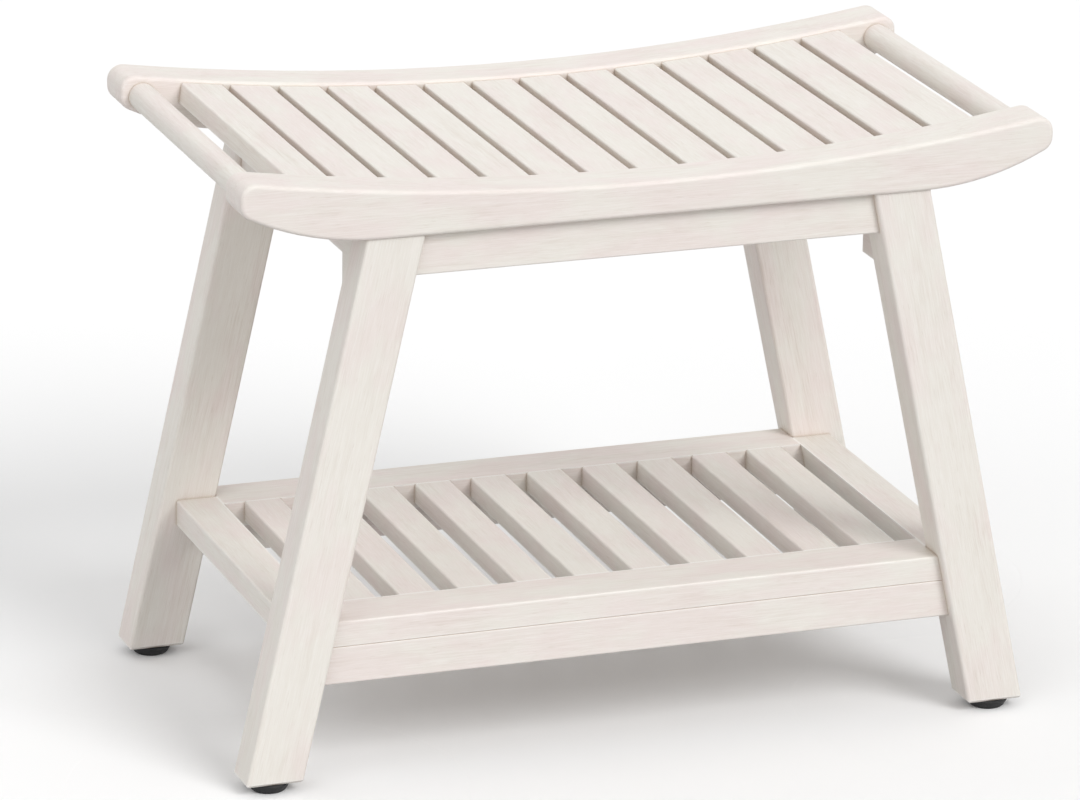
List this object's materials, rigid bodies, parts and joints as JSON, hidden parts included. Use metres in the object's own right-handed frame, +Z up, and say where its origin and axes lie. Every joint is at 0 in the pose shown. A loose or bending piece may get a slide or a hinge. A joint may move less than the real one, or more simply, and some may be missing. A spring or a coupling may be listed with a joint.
{
  "type": "shower bench",
  "caption": "Free-standing slatted wooden shower bench with a dished seat, round bar handles at both ends, splayed legs on levelling feet and a slatted shelf below.",
  "frame": {"origin": "on the floor, under the middle of the bench", "axes": "+X along the bench to the right as seen from the front, +Y from front to back, +Z up"},
  "size_m": [0.61, 0.33, 0.4532],
  "materials": {
    "pale_wood": "satin whitewash",
    "black_pad": "matte",
    "zinc_steel": "zinc plated",
    "brass_bush": "plain"
  },
  "bodies": {
    "frame": {"back_apron": "pale_wood", "back_left_leg": "pale_wood", "back_right_leg": "pale_wood", "back_seat_rail": "pale_wood", "back_shelf_rail": "pale_wood", "back_stretcher": "pale_wood", "foot_inserts": "brass_bush", "front_apron": "pale_wood", "front_left_leg": "pale_wood", "front_right_leg": "pale_wood", "front_seat_rail": "pale_wood", "front_shelf_rail": "pale_wood", "front_stretcher": "pale_wood", "left_cross_rail": "pale_wood", "left_handle": "pale_wood", "left_shelf_end": "pale_wood", "right_cross_rail": "pale_wood", "right_handle": "pale_wood", "right_shelf_end": "pale_wood", "seat_screws": "zinc_steel", "seat_slat_01": "pale_wood", "seat_slat_02": "pale_wood", "seat_slat_03": "pale_wood", "seat_slat_04": "pale_wood", "seat_slat_05": "pale_wood", "seat_slat_06": "pale_wood", "seat_slat_07": "pale_wood", "seat_slat_08": "pale_wood", "seat_slat_09": "pale_wood", "seat_slat_10": "pale_wood", "seat_slat_11": "pale_wood", "seat_slat_12": "pale_wood", "seat_slat_13": "pale_wood", "seat_slat_14": "pale_wood", "shelf_pins": "pale_wood", "shelf_screws": "zinc_steel", "shelf_slat_01": "pale_wood", "shelf_slat_02": "pale_wood", "shelf_slat_03": "pale_wood", "shelf_slat_04": "pale_wood", "shelf_slat_05": "pale_wood", "shelf_slat_06": "pale_wood", "shelf_slat_07": "pale_wood", "shelf_slat_08": "pale_wood", "shelf_slat_09": "pale_wood", "shelf_slat_10": "pale_wood"},
    "front_left_foot": {"front_left_foot_pad": "black_pad", "front_left_foot_stem": "zinc_steel"},
    "front_right_foot": {"front_right_foot_pad": "black_pad", "front_right_foot_stem": "zinc_steel"},
    "back_left_foot": {"back_left_foot_pad": "black_pad", "back_left_foot_stem": "zinc_steel"},
    "back_right_foot": {"back_right_foot_pad": "black_pad", "back_right_foot_stem": "zinc_steel"}
  },
  "joints": [
    {"name": "front_left_foot_height", "type": "slide", "parent": "frame", "child": "front_left_foot", "axis": [0, 0, -1], "range_m": [0, 0.008]},
    {"name": "front_right_foot_height", "type": "slide", "parent": "frame", "child": "front_right_foot", "axis": [0, 0, -1], "range_m": [0, 0.008]},
    {"name": "back_left_foot_height", "type": "slide", "parent": "frame", "child": "back_left_foot", "axis": [0, 0, -1], "range_m": [0, 0.008]},
    {"name": "back_right_foot_height", "type": "slide", "parent": "frame", "child": "back_right_foot", "axis": [0, 0, -1], "range_m": [0, 0.008]}
  ]
}
